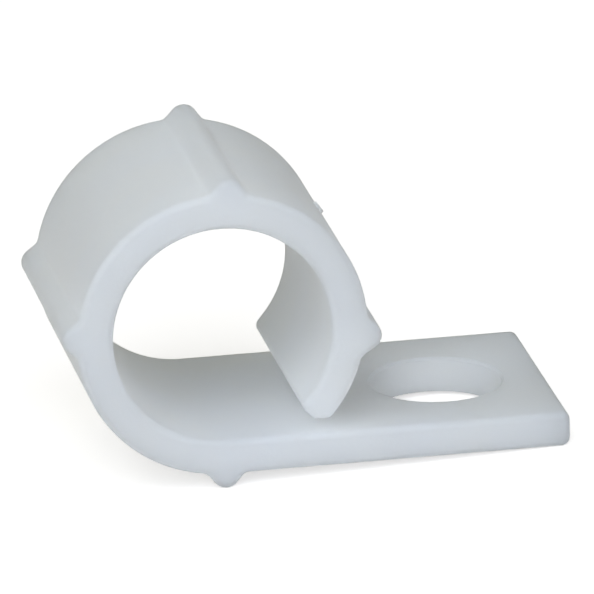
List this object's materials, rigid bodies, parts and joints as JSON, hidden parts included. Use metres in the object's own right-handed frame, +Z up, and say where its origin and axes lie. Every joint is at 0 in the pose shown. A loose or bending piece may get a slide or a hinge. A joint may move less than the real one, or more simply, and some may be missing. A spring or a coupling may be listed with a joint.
{
  "type": "cable clip",
  "caption": "One-piece moulded cable clip: a flat base with a screw hole, curled into a ribbed round loop whose springy arm ends just above the base.",
  "frame": {"origin": "on the screw hole's axis, level with the underside of the base", "axes": "+X along the base away from the loop, +Y along the cable, +Z up through the screw hole"},
  "size_m": [0.0184, 0.0096, 0.0116],
  "materials": {
    "natural_nylon": "satin, milky white and slightly translucent"
  },
  "bodies": {
    "root": {"clip_body": "natural_nylon"}
  },
  "joints": []
}
